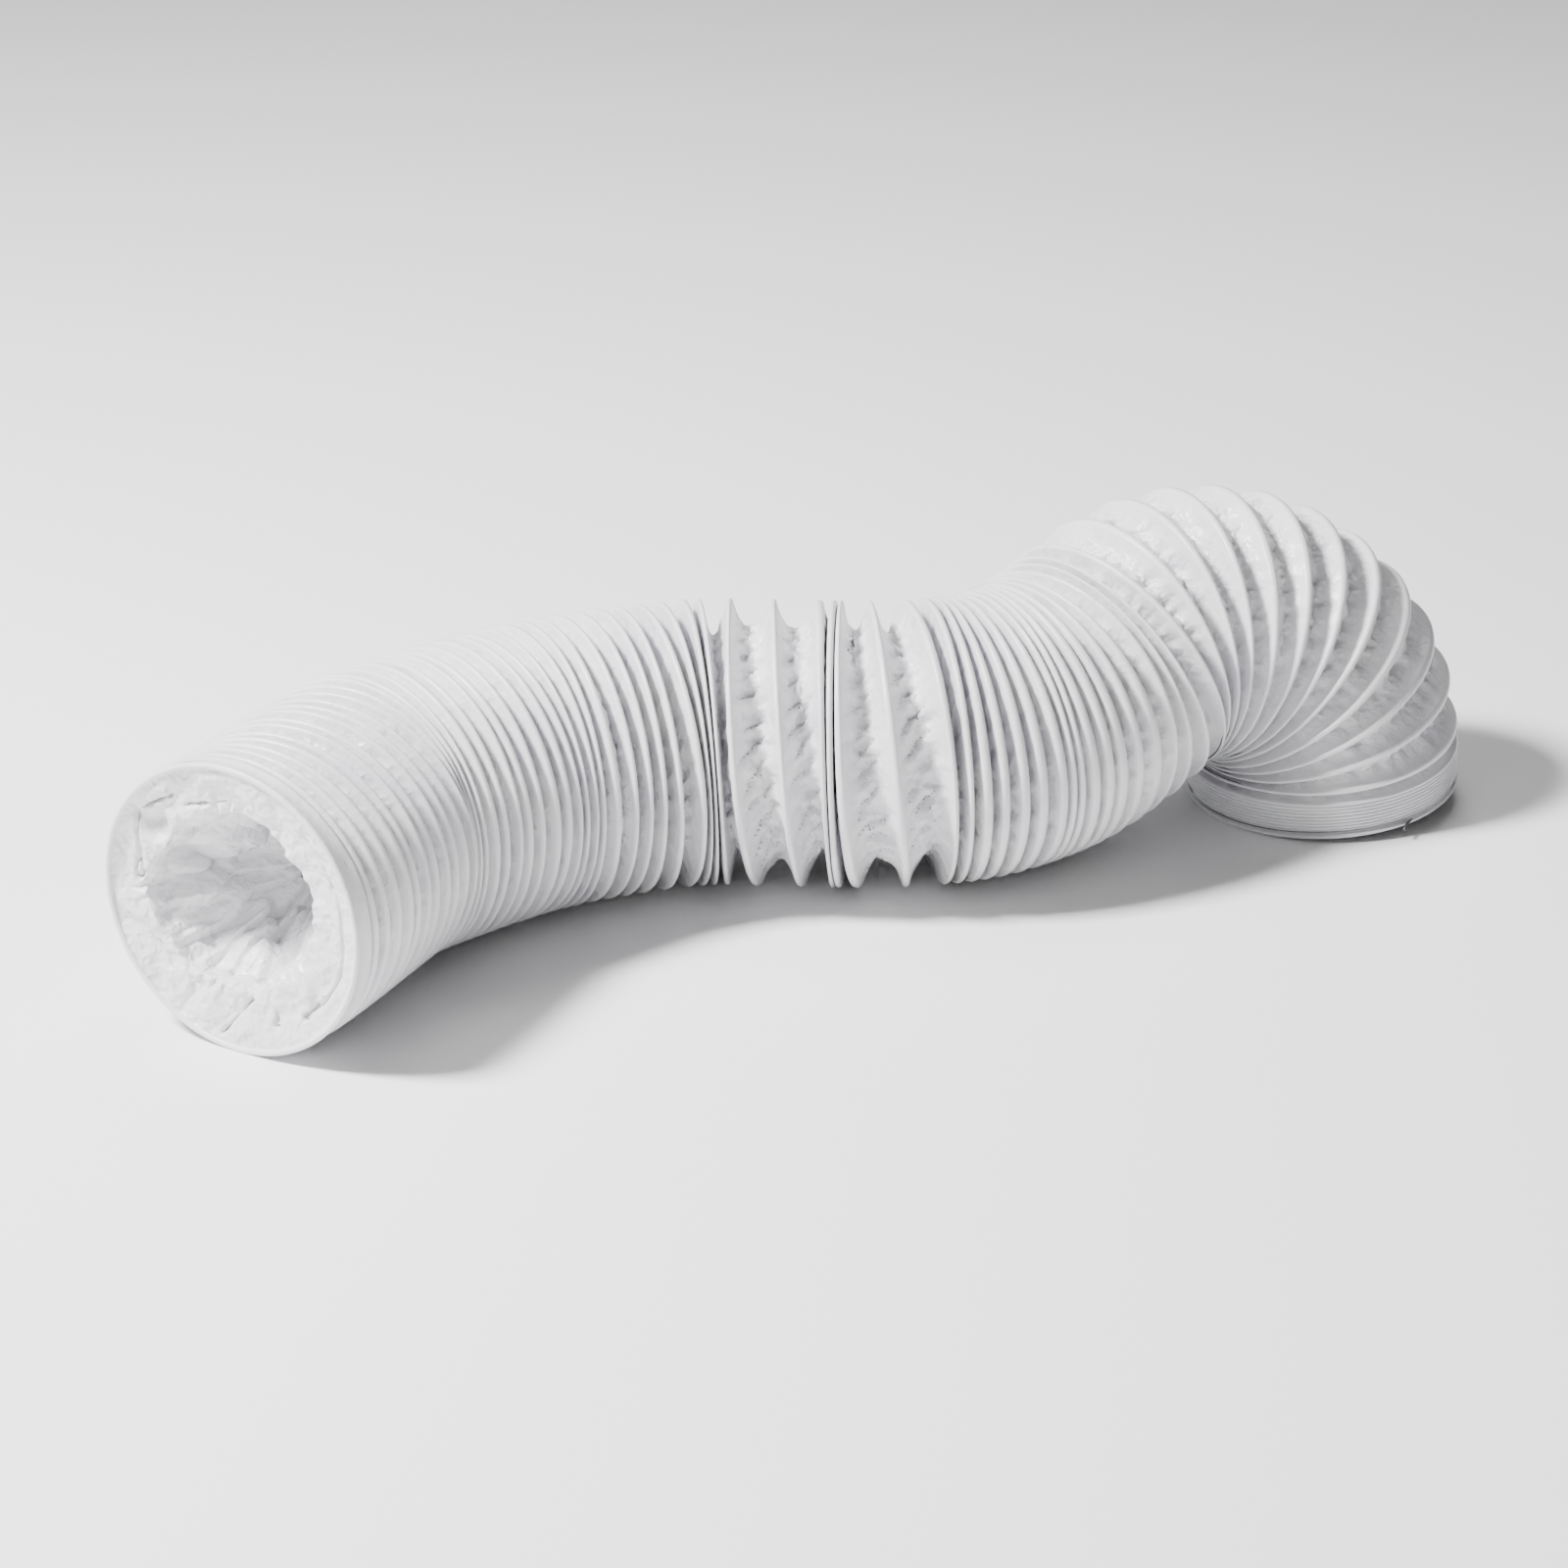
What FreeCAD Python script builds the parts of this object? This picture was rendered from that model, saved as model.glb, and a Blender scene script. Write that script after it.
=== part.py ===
"""Flexible air duct: a pleated film hose on a helical spring wire, lying in an S with its far end turned down.

All lengths are millimetres and all angles degrees. The duct is walked from its front mouth to its rear
mouth along one centreline of circular arcs. It is divided into rigid groups of turns, with a short
straight gap between neighbouring groups where the pleats bend or slide. Each group is a pleated film
wall, the turns of wire inside that wall and, except in the first group, a narrower film sleeve that
reaches across the gap into the group in front of it, so the air path stays closed.
"""
import FreeCAD, Part
import math
import os

Vector = FreeCAD.Vector

# Driving dimensions of the film wall, seen across the duct.
CREST_RADIUS = 52.0
VALLEY_RADIUS = 47.0
SPIGOT_BORE_RADIUS = 50.2
SLEEVE_OUTER_RADIUS = 44.8
SLEEVE_INNER_RADIUS = 43.6
SLEEVE_WEB = 2.0
FRONT_CUFF_LENGTH = 10.0
REAR_CUFF_LENGTH = 8.0

# The folded-in film hem that half closes the front mouth.
HEM_THICKNESS = 1.2
HEM_DEPTH = 5.0
HEM_SETBACK = 0.6
HEM_OPENING_RADIUS = 34.0
HEM_OPENING_RISE = 7.0

# The spring wire.
WIRE_RADIUS = 0.5
HELIX_CORNER_RADIUS = 51.8
HELIX_FLAT = 1.9
TIGHT_BEND_RADIUS = 76.0
POINTS_PER_TURN = 16
WIRE_END_MARGIN = 0.8
FIRST_TURN_ANGLE = 136.0
CUT_END_LENGTH = 11.0
CUT_END_FLARE = 24.0

# The centreline: where the front mouth's rim stands, and which way the duct sets off from it.
START_POINT = Vector(-199.1, -124.6, CREST_RADIUS)
START_HEADING = 60.0

# Gaps between groups, and how far a sleeve reaches into the group in front.
GAP = 7.0
HINGE_REACH = 8.0
SLIDE_REACH = 19.0
SLIDE_CLOSING = 5.0
REACH_MARGIN = 1.5

# Groups from front to rear. Each arc is (length, turn to the left, lift upwards). The joint is the one
# between this group and the next: side and lift are hinges, slide is a stretch of the pleats.
GROUPS = [
    {"arcs": [(FRONT_CUFF_LENGTH, 0, 0), (20, 5, 0)], "joint": "side"},
    {"arcs": [(27, 0, 0)], "joint": "slide"},
    {"arcs": [(27, -22, 0)], "joint": "side"},
    {"arcs": [(27, -3, 0)], "joint": "lift"},
    {"arcs": [(27, -14, 0)], "joint": "side"},
    {"arcs": [(27, -8, 0)], "joint": "slide"},
    {"arcs": [(27, -21, 0)], "joint": "side"},
    {"arcs": [(27, 0, 0)], "joint": "slide"},
    {"arcs": [(27, 13, 0)], "joint": "side"},
    {"arcs": [(22, 18, 6)], "joint": "side"},
    {"arcs": [(22, 17, 6)], "joint": "lift"},
    {"arcs": [(21, -8, 13)], "joint": "side"},
    {"arcs": [(36, -19, -29), (38, -7, -38), (41, 3, -42)], "joint": "slide"},
    {"arcs": [(3, 0, 0), (REAR_CUFF_LENGTH, 0, 0)], "joint": None},
]

# What is added to a film node's name for each arc of its group.
ELBOW_NAMES = ["", "_middle", "_rear"]

# Turns of the wire from front to rear: (number of turns, pitch along the centreline).
TURN_RUNS = [
    (6, 5.4), (7, 6.4), (8, 5.7), (7, 6.3),
    (2, 7.2), (3, 8.2), (1, 5.6), (1, 12.6), (1, 17.0), (1, 15.0), (2, 3.2), (2, 12.8), (1, 5.6),
    (14, 4.3),
    (16, 9.2),
    (9, 2.6),
]


class Frame:
    """A point on the centreline with its forward, left and up directions."""

    def __init__(self, point, forward, left):
        self.point = point
        self.forward = forward
        self.left = left
        self.up = forward.cross(left)

    def offset(self, across, upwards, along=0.0):
        return self.point + self.left * across + self.up * upwards + self.forward * along


def bend_of(frame, turn, lift):
    """The axis direction of a bend, its angle in degrees and the direction of its centre."""
    angle = math.hypot(turn, lift)
    if angle == 0:
        return None, 0.0, None
    axis = (frame.up * turn - frame.left * lift) * (1 / angle)
    inwards = (frame.left * turn + frame.up * lift) * (1 / angle)
    return axis, angle, inwards


def bend_centre(frame, arc):
    length, turn, lift = arc
    _, angle, inwards = bend_of(frame, turn, lift)
    return frame.point + inwards * (length / math.radians(angle))


def advance(frame, arc, share=1.0):
    """The frame after the given share of an arc."""
    length, turn, lift = arc
    axis, angle, _ = bend_of(frame, turn, lift)
    if axis is None:
        return Frame(frame.point + frame.forward * (length * share), frame.forward, frame.left)
    rotation = FreeCAD.Rotation(axis, angle * share)
    centre = bend_centre(frame, arc)
    point = centre + rotation.multVec(frame.point - centre)
    return Frame(point, rotation.multVec(frame.forward), rotation.multVec(frame.left))


def walk_groups():
    """Lay the groups out along the centreline, and list every arc and gap in order."""
    heading = math.radians(START_HEADING)
    forward = Vector(math.cos(heading), math.sin(heading), 0)
    left = Vector(-math.sin(heading), math.cos(heading), 0)
    frame = Frame(START_POINT, forward, left)
    station = 0.0
    pieces = []
    for number, group in enumerate(GROUPS, start=1):
        group["name"] = "%02d" % number
        group["start"] = station
        group["frames"] = []
        for arc in group["arcs"]:
            group["frames"].append(frame)
            pieces.append((station, arc, frame))
            frame = advance(frame, arc)
            station += arc[0]
        group["end"] = station
        group["end_frame"] = frame
        if group["joint"]:
            gap = (GAP, 0, 0)
            group["joint_frame"] = advance(frame, gap, 0.5)
            pieces.append((station, gap, frame))
            frame = advance(frame, gap)
            station += GAP
    return pieces


def frame_at(pieces, station):
    """The frame and the bend (turn, lift, radius) at a distance along the centreline."""
    for start, arc, frame in reversed(pieces):
        if station >= start or start == 0.0:
            length, turn, lift = arc
            angle = math.hypot(turn, lift)
            radius = length / math.radians(angle) if angle else math.inf
            return advance(frame, arc, (station - start) / length), (turn, lift, radius)
    return None


def circle(frame, radius, along=0.0, across=0.0, upwards=0.0):
    centre = frame.offset(across, upwards, along)
    return Part.Wire(Part.Circle(centre, frame.forward, radius).toShape())


def ring_face(frame, outer, inner, along=0.0):
    """A flat ring across the duct."""
    disc = Part.Face(circle(frame, outer, along))
    return disc.cut(Part.Face(circle(frame, inner, along))).Faces[0]


def tube_along(frame, arc, outer, inner):
    """A tube wall that follows one arc of the centreline."""
    length, turn, lift = arc
    face = ring_face(frame, outer, inner)
    axis, angle, _ = bend_of(frame, turn, lift)
    if axis is None:
        return face.extrude(frame.forward * length)
    return face.revolve(bend_centre(frame, arc), axis, angle)


def straight_tube(frame, begin, length, outer, inner):
    return ring_face(frame, outer, inner, begin).extrude(frame.forward * length)


def joined(solids):
    """One solid from solids that touch or overlap."""
    shape = solids[0]
    for solid in solids[1:]:
        shape = shape.fuse(solid)
    return shape.removeSplitter().Solids[0]


def sleeve(frame, reach):
    """The narrow film sleeve of a group: a web inside its first pleat, and a tube forwards over the gap."""
    web = straight_tube(frame, 0.0, SLEEVE_WEB, VALLEY_RADIUS + 0.5, SLEEVE_INNER_RADIUS)
    length = reach + GAP + SLEEVE_WEB
    tube = straight_tube(frame, -reach - GAP, length, SLEEVE_OUTER_RADIUS, SLEEVE_INNER_RADIUS)
    return [web, tube]


def sleeve_reach(front_group):
    """How far a sleeve may reach into the group in front of it, past its bend and its own web."""
    length, turn, lift = front_group["arcs"][-1]
    inner_length = length - VALLEY_RADIUS * math.radians(math.hypot(turn, lift))
    if len(front_group["arcs"]) > 1:
        return HINGE_REACH
    room = inner_length - SLEEVE_WEB - REACH_MARGIN
    if front_group["joint"] == "slide":
        return min(SLIDE_REACH, room - SLIDE_CLOSING)
    return min(HINGE_REACH, room)


def film_walls(group, front_group):
    """The pleated wall of a group, between the tips of its pleats and their valleys.

    It is one solid, except in the elbow, where each arc has a wall of its own.
    """
    arcs = list(zip(group["arcs"], group["frames"]))
    if group is GROUPS[0]:
        arcs = arcs[1:]
    if group is GROUPS[-1]:
        arcs = arcs[:-1]
    walls = [tube_along(frame, arc, CREST_RADIUS, VALLEY_RADIUS) for arc, frame in arcs]
    if front_group:
        walls[0] = joined([walls[0]] + sleeve(group["frames"][0], sleeve_reach(front_group)))
    return walls


def cuff(frame, length):
    """A straight end that slips over a spigot, with the film doubled back over the last turns."""
    return straight_tube(frame, 0.0, length, CREST_RADIUS, SPIGOT_BORE_RADIUS)


def hem(frame):
    """The loose edge of the film, folded inwards behind the rim round an opening that sits high."""
    outer = SPIGOT_BORE_RADIUS
    walls = []
    for along in (HEM_SETBACK, HEM_SETBACK + HEM_THICKNESS):
        rim = circle(frame, outer, along)
        edge = circle(frame, HEM_OPENING_RADIUS, along + HEM_DEPTH, upwards=HEM_OPENING_RISE)
        cone = Part.makeLoft([rim, edge], True, True)
        walls.append(cone)
    plug = straight_tube(frame, HEM_SETBACK, HEM_THICKNESS, outer, outer - HEM_THICKNESS)
    front, back = walls
    shell = back.fuse(plug).cut(front)
    opening = Part.makeCylinder(
        HEM_OPENING_RADIUS, 4 * HEM_DEPTH, frame.offset(0, HEM_OPENING_RISE, -HEM_DEPTH), frame.forward)
    return shell.cut(opening).Solids[0]


def station_of_turn(turns):
    """Distance along the centreline of a point on the helix, counted in turns from the front."""
    station = 0.0
    left_over = turns
    for count, pitch in TURN_RUNS:
        if left_over <= count:
            return station + left_over * pitch
        station += count * pitch
        left_over -= count
    return station + left_over * TURN_RUNS[-1][1]


def turn_at_station(station):
    """The inverse of station_of_turn."""
    turns = 0.0
    left_over = station
    for count, pitch in TURN_RUNS:
        if left_over <= count * pitch:
            return turns + left_over / pitch
        turns += count
        left_over -= count * pitch
    return turns + left_over / TURN_RUNS[-1][1]


def helix_point(pieces, turns):
    """A point on the wire's centreline. In a tight bend the turns are pushed in on the inner side."""
    frame, (turn, lift, radius) = frame_at(pieces, station_of_turn(turns))
    angle = math.radians(FIRST_TURN_ANGLE) + 2 * math.pi * turns
    helix_radius = HELIX_CORNER_RADIUS
    if radius < TIGHT_BEND_RADIUS:
        inner_angle = math.atan2(lift, turn)
        helix_radius -= HELIX_FLAT * (0.5 + 0.5 * math.cos(angle - inner_angle)) ** 3
    return frame.offset(helix_radius * math.cos(angle), helix_radius * math.sin(angle))


def rounded_path(points):
    """Straight runs through the points, joined by tangent arcs as large as the runs allow."""
    edges = []
    last = points[0]
    for before, corner, after in zip(points, points[1:], points[2:]):
        back = (before - corner).normalize()
        ahead = (after - corner).normalize()
        half_turn = (math.pi - back.getAngle(ahead)) / 2
        trim = 0.45 * min((before - corner).Length, (after - corner).Length)
        radius = trim / math.tan(half_turn)
        middle = corner + (back + ahead).normalize() * (radius / math.cos(half_turn) - radius)
        edges.append(Part.LineSegment(last, corner + back * trim).toShape())
        edges.append(Part.Arc(corner + back * trim, middle, corner + ahead * trim).toShape())
        last = corner + ahead * trim
    edges.append(Part.LineSegment(last, points[-1]).toShape())
    return Part.Wire(edges)


def wire_along(points):
    """A round wire whose centreline is the rounded path through the points."""
    path = rounded_path(points)
    first_run = points[1] - points[0]
    profile = Part.Wire(Part.Circle(points[0], first_run, WIRE_RADIUS).toShape())
    return path.makePipeShell([profile], True, False)


def wire_turns(pieces, group):
    """The turns of the spring wire that lie inside one group's wall."""
    first = turn_at_station(group["start"] + WIRE_END_MARGIN)
    last = turn_at_station(group["end"] - WIRE_END_MARGIN)
    steps = round((last - first) * POINTS_PER_TURN)
    points = [helix_point(pieces, first + (last - first) * i / steps) for i in range(steps + 1)]
    points[0] = (points[0] + points[1]) * 0.5
    points[-1] = (points[-1] + points[-2]) * 0.5
    return wire_along(points)


def cut_end(pieces, group):
    """The cut end of the wire, sprung clear of the last turn."""
    last = turn_at_station(group["end"] - WIRE_END_MARGIN)
    last_corner = helix_point(pieces, last)
    corner_before = helix_point(pieces, last - 1 / POINTS_PER_TURN)
    root = (last_corner + corner_before) * 0.5
    onwards = (last_corner - corner_before).normalize()
    outwards = (root - group["end_frame"].point).normalize()
    flare = math.radians(CUT_END_FLARE)
    middle = root + onwards * (CUT_END_LENGTH / 2) + outwards * (CUT_END_LENGTH / 2 * math.tan(flare / 2))
    tip = middle + (onwards * math.cos(flare) + outwards * math.sin(flare)) * (CUT_END_LENGTH / 2)
    return wire_along([root, middle, tip])


def save(name, shape):
    shape.exportStep("parts/%s.step" % name)
    print("%-14s valid %s  volume %9.1f mm3" % (name, shape.isValid(), shape.Volume))


def main():
    os.makedirs("parts", exist_ok=True)
    pieces = walk_groups()
    front_group = None
    for group in GROUPS:
        for name, wall in zip(ELBOW_NAMES, film_walls(group, front_group)):
            save("film_" + group["name"] + name, wall)
        save("wire_turns_" + group["name"], wire_turns(pieces, group))
        front_group = group
    save("front_cuff", cuff(GROUPS[0]["frames"][0], FRONT_CUFF_LENGTH))
    save("front_hem", hem(GROUPS[0]["frames"][0]))
    save("rear_cuff", cuff(GROUPS[-1]["frames"][-1], REAR_CUFF_LENGTH))
    save("wire_cut_end", cut_end(pieces, GROUPS[-1]))


main()
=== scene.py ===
"""Looks of the flexible air duct: a crumpled plastic film hose on a helical spring wire.

Lengths are millimetres and angles radians until a mesh is made, which is in metres. The film is one
helical ribbon per turn of wire: its middle runs over the wire and its two edges meet the next ribbons
in the valleys between turns. A place on the film is (turns, across): turns counts along the wire, and
across goes from the valley before the wire (-0.5) over the wire (0) to the valley after it (0.5).
"""
import math
import bpy
import numpy as np
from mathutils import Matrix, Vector


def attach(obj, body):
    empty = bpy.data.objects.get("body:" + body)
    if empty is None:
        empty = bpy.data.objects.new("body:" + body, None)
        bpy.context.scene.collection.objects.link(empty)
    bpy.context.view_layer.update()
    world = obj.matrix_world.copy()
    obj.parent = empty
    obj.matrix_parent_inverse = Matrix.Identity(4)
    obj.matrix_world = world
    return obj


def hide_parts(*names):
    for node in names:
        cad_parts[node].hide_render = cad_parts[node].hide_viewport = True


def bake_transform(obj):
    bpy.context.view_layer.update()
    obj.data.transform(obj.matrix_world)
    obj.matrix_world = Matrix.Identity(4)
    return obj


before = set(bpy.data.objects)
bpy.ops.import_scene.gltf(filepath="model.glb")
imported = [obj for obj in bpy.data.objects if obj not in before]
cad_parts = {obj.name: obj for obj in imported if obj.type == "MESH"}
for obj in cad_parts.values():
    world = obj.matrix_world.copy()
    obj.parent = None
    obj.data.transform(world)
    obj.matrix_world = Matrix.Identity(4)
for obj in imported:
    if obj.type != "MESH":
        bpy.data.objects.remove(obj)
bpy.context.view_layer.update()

MM = 0.001
SEED = 7

# The centreline, walked from the front mouth: (length, turn left, lift up) of each arc, in degrees.
START_POINT = np.array([-199.1, -124.6, 52.0])
START_HEADING = math.radians(60.0)
GAP = 7.0
GROUPS = [
    [(10.0, 0, 0), (20, 5, 0)],
    [(27, 0, 0)],
    [(27, -22, 0)],
    [(27, -3, 0)],
    [(27, -14, 0)],
    [(27, -8, 0)],
    [(27, -21, 0)],
    [(27, 0, 0)],
    [(27, 13, 0)],
    [(22, 18, 6)],
    [(22, 17, 6)],
    [(21, -8, 13)],
    [(36, -19, -29), (38, -7, -38), (41, 3, -42)],
    [(3, 0, 0), (8, 0, 0)],
]

# The wire: radius of its helix, its own radius, and the film's outside radius around it.
HELIX_RADIUS = 51.1
WIRE_RADIUS = 0.5
BEAD_RADIUS = 0.9
FILM_THICKNESS = 0.24
FIRST_TURN_ANGLE = math.radians(136.0)

# Where each piece of film ends: at this share of a turn, which is underneath the duct.
CUT_PHASE = (270.0 - 136.0) / 360.0
FIRST_TURN = CUT_PHASE + 1.0
LAST_TURN = CUT_PHASE + 79.0
TURNS = 81.0
WIRE_END_TURN = 81.06
RIM_SETBACK = 0.9

# How far into the elbow its film is divided.
ELBOW_CUT = 52.0

# Turns from front to rear: (number of turns, pitch). The first and last turns close on themselves, and
# the part turn in the second run makes the later runs start on whole turns.
TURN_RUNS = [
    # The front arm, even and nearly closed.
    (1, 6.5), (4.6278, 5.4), (7, 6.4), (8, 5.7), (7, 6.3),
    # The stretched part, with two turns that stay together in the middle of it.
    (2, 7.2), (2, 7.2), (1, 8.0), (2, 6.8), (1, 4.6), (1, 10.5), (1, 16.5), (1, 15.5), (2, 2.8),
    (1, 14.0), (1, 15.0), (1, 6.0),
    # The closed part after it, and the fan of turns over the elbow.
    (6, 4.3), (4, 3.4), (2, 5.0), (1, 8.0), (2, 9.5), (12, 10.2), (1, 6.0),
    # The stack of turns that lie on each other at the rear end.
    (8, 1.35), (1, 2.3),
]

# How unevenly the turns lie, as (turn, share of the pitch).
UNEVENNESS = [
    (1.5, 0.0), (4, 0.42), (25, 0.42), (28, 0.0), (44, 0.0), (46, 0.2), (54, 0.2), (57, 0.04), (75, 0.0),
]
TABLE_STEPS = 48

# Shape of the film by turn: (turn, film width per turn, deepest valley, share of sharp creasing,
# strength of crumples, strength of slanting folds).
FORM = [
    (0, 14.0, 6.0, 1.0, 0.35, 0.0),
    (28, 15.0, 6.5, 0.9, 0.70, 0.1),
    (30, 19.0, 8.0, 0.5, 1.10, 0.5),
    (32, 25.0, 11.0, 0.1, 1.40, 0.9),
    (34, 27.0, 12.0, 0.0, 1.50, 1.0),
    (43, 28.0, 13.0, 0.0, 1.60, 1.0),
    (45, 21.0, 9.5, 0.2, 1.60, 0.6),
    (50, 17.0, 7.5, 0.6, 1.30, 0.3),
    (56, 15.0, 7.0, 0.8, 1.00, 0.2),
    (59, 21.5, 7.0, 0.2, 1.20, 0.3),
    (71, 21.5, 7.0, 0.2, 1.20, 0.3),
    (73, 10.0, 4.2, 1.0, 0.50, 0.0),
    (81, 10.0, 4.2, 1.0, 0.35, 0.0),
]

# The slanting folds of the stretched film: how many there are round one turn, and how they slant.
SLANT_FOLDS = 26
SLANT = 2

STEPS = 264
BEAD_COLUMNS = 2
FLANK_COLUMNS = 8


def rotated(vectors, axis, angles):
    """Vectors turned about an axis, one angle for each."""
    cos = np.cos(angles)[:, None]
    sin = np.sin(angles)[:, None]
    along = (vectors @ axis)[:, None] * axis
    return vectors * cos + np.cross(axis, vectors) * sin + along * (1 - cos)


class Centreline:
    """The duct's centreline as arcs, with a frame (point, forward, left) at the start of each."""

    def __init__(self):
        self.arcs = []
        self.group_spans = []
        self.joint_stations = []
        point = START_POINT
        forward = np.array([math.cos(START_HEADING), math.sin(START_HEADING), 0.0])
        left = np.array([-math.sin(START_HEADING), math.cos(START_HEADING), 0.0])
        station = 0.0
        for number, group in enumerate(GROUPS):
            begin = station
            for arc in group:
                self.arcs.append((station, arc, point, forward, left))
                point, forward, left = self.carry(arc, point, forward, left, np.array([arc[0]]))
                point, forward, left = point[0], forward[0], left[0]
                station += arc[0]
            self.group_spans.append((begin, station))
            if number < len(GROUPS) - 1:
                self.arcs.append((station, (GAP, 0, 0), point, forward, left))
                self.joint_stations.append(station + GAP / 2)
                point = point + forward * GAP
                station += GAP
        self.length = station
        self.starts = np.array([a[0] for a in self.arcs])
        grid = np.arange(0.0, station, 1.0)
        which = np.searchsorted(self.starts, grid, side="right") - 1
        bend = np.array([self.curvature(self.arcs[i][1]) for i in which])
        window = np.ones(15) / 15
        self.bend_grid = grid
        self.bend = np.stack([np.convolve(bend[:, k], window, mode="same") for k in range(2)], axis=1)

    @staticmethod
    def curvature(arc):
        """Bend to the left and upwards, in radians per millimetre."""
        return math.radians(arc[1]) / arc[0], math.radians(arc[2]) / arc[0]

    @staticmethod
    def carry(arc, point, forward, left, distances):
        """Frames at distances along an arc that starts with the given frame."""
        length, turn, lift = arc
        angle = math.radians(math.hypot(turn, lift))
        ones = np.ones((len(distances), 1))
        if angle == 0:
            return point + forward * distances[:, None], forward * ones, left * ones
        up = np.cross(forward, left)
        scale = math.hypot(turn, lift)
        axis = (up * turn - left * lift) / scale
        inwards = (left * turn + up * lift) / scale
        radius = length / angle
        turned = angle * distances / length
        centre = point + inwards * radius
        points = centre + rotated(-inwards * radius * ones, axis, turned)
        return points, rotated(forward * ones, axis, turned), rotated(left * ones, axis, turned)

    def frames(self, stations):
        """Points and forward, left and up directions at stations."""
        flat = np.asarray(stations, float).ravel()
        which = np.clip(np.searchsorted(self.starts, flat, side="right") - 1, 0, len(self.arcs) - 1)
        points = np.zeros((len(flat), 3))
        forward = np.zeros((len(flat), 3))
        left = np.zeros((len(flat), 3))
        for i in np.unique(which):
            mask = which == i
            start, arc, p, f, l = self.arcs[i]
            points[mask], forward[mask], left[mask] = self.carry(arc, p, f, l, flat[mask] - start)
        return points, forward, left, np.cross(forward, left)

    def spacing(self, stations, angles):
        """How much closer (under 1) or wider (over 1) the turns lie on this side of a bend."""
        to_left = np.interp(stations, self.bend_grid, self.bend[:, 0])
        upwards = np.interp(stations, self.bend_grid, self.bend[:, 1])
        lever = to_left * np.cos(angles) + upwards * np.sin(angles)
        return np.maximum(1 - HELIX_RADIUS * lever, 0.1)


line = Centreline()


def noise(points, seed):
    """Smooth random field of 3-D points, about -1 to 1, the same on every run."""
    base = np.floor(points).astype(np.int64)
    part = points - base
    ease = part ** 3 * (part * (part * 6 - 15) + 10)
    total = np.zeros(len(points))
    for corner in range(8):
        step = np.array([corner & 1, corner >> 1 & 1, corner >> 2 & 1])
        cell = base + step
        code = cell[:, 0] * 374761393 + cell[:, 1] * 668265263 + cell[:, 2] * 1442695041
        code = (code + (SEED + seed) * 1274126177) & 0xFFFFFFFF
        code = ((code ^ (code >> 13)) * 1274126177) & 0xFFFFFFFF
        code = ((code ^ (code >> 15)) * 2246822519) & 0xFFFFFFFF
        code = code ^ (code >> 16)
        slope = np.stack([(code & 1023), (code >> 10 & 1023), (code >> 20 & 1023)], axis=1) / 511.5 - 1
        weight = np.where(step == 1, ease, 1 - ease).prod(axis=1)
        total += weight * ((part - step) * slope).sum(axis=1)
    return total * 1.4


def ridges(points, seed):
    """Random field of sharp folds: 0 between folds, 1 on a fold."""
    return 1 - np.minimum(np.abs(noise(points, seed)) * 2.2, 1)


def wander(values, rate, seed):
    """Smooth random wander along one count, about -1 to 1."""
    values = np.asarray(values, float)
    points = np.zeros((values.size, 3))
    points[:, 0] = values.ravel() * rate
    points[:, 1] = 0.37 + seed
    return noise(points, seed).reshape(values.shape)


def make_turn_table():
    """Station by turn number, from the runs of turns, with the runs eased into each other."""
    grid = np.arange(-1.0, TURNS + 1.0, 1 / TABLE_STEPS)
    pitch = np.zeros(len(grid))
    edge = CUT_PHASE
    for count, step in TURN_RUNS:
        pitch[(grid >= edge) & (grid < edge + count)] = step
        edge += count
    pitch = np.convolve(pitch, np.ones(13) / 13, mode="same")
    station = RIM_SETBACK + np.cumsum(pitch) / TABLE_STEPS
    last = line.length - RIM_SETBACK
    station = RIM_SETBACK + (station - RIM_SETBACK) * (last - RIM_SETBACK) / (station[-1] - RIM_SETBACK)
    uneven = np.interp(grid, [row[0] for row in UNEVENNESS], [row[1] for row in UNEVENNESS])
    station += wander(grid, 0.83, 1) * pitch * uneven
    return grid, station


turn_grid, turn_station = make_turn_table()


def station_of(turns):
    return np.interp(turns, turn_grid, turn_station)


def form_of(turns, column):
    return np.interp(turns, [row[0] for row in FORM], [row[column] for row in FORM])


def lean(turns, angles):
    """How far a place on a ring stands ahead of the ring's middle, since rings don't stand square."""
    free = np.interp(turns, [0, 3, 69, 73, 79, 81], [0, 1, 1, 0.25, 0.2, 0])
    side = wander(turns, 0.31, 2) * np.cos(angles) + wander(turns, 0.31, 3) * np.sin(angles)
    low = np.interp(turns, [31, 34, 44, 47], [0, 2.0, 2.0, 0]) * (1 - np.sin(angles))
    return 1.3 * side * free + low


def squeeze(spread):
    """How far the turns are pressed inwards where they crowd on the inside of the elbow."""
    return 1.9 * np.clip((0.45 - spread) / 0.35, 0, 1)


def place(turns, angles, radii):
    """Points at a radius and an angle on the rings numbered by turns."""
    points, forward, left, up = line.frames(station_of(turns))
    outwards = left * np.cos(angles)[:, None] + up * np.sin(angles)[:, None]
    return points + outwards * radii[:, None] + forward * lean(turns, angles)[:, None]


def smooth_normals(points, quads):
    corners = points[quads]
    face = np.cross(corners[:, 2] - corners[:, 0], corners[:, 3] - corners[:, 1])
    total = np.zeros((len(points), 3))
    for k in range(4):
        for axis in range(3):
            total[:, axis] += np.bincount(quads[:, k], face[:, axis], len(points))
    return total / np.maximum(np.linalg.norm(total, axis=1), 1e-12)[:, None]


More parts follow.
